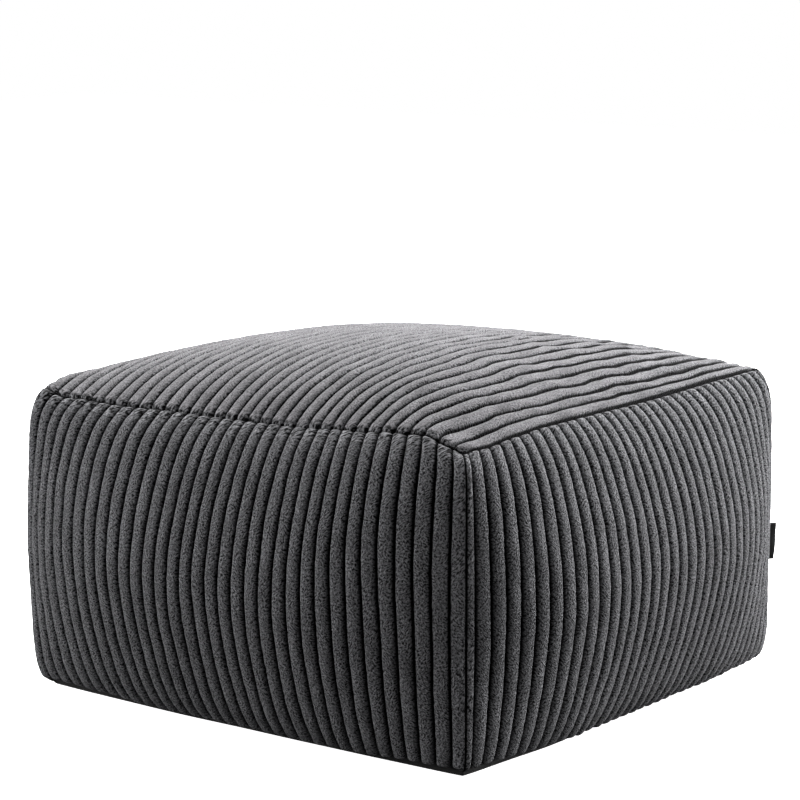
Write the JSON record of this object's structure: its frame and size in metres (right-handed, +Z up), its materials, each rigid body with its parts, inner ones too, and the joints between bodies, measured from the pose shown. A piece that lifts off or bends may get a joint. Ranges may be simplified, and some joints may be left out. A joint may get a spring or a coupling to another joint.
{
  "type": "pouf ottoman",
  "caption": "Square floor pouf with a soft crowned top and bulging sides, covered in wide-wale corduroy, on a flat base panel.",
  "frame": {"origin": "on the floor under the middle of the pouf", "axes": "+Z up; the front side is -Y and the top panel's ribs run along Y; the tab is in the corner seam at +X +Y"},
  "size_m": [0.675, 0.675, 0.3693],
  "materials": {
    "corduroy": "charcoal wide-wale corduroy with a soft cut pile",
    "base_cloth": "plain black woven base cloth",
    "ribbon": "black woven ribbon, satin sheen"
  },
  "bodies": {
    "root": {"pouf_body": "corduroy", "base_panel": "base_cloth", "side_tab": "ribbon"}
  },
  "joints": []
}
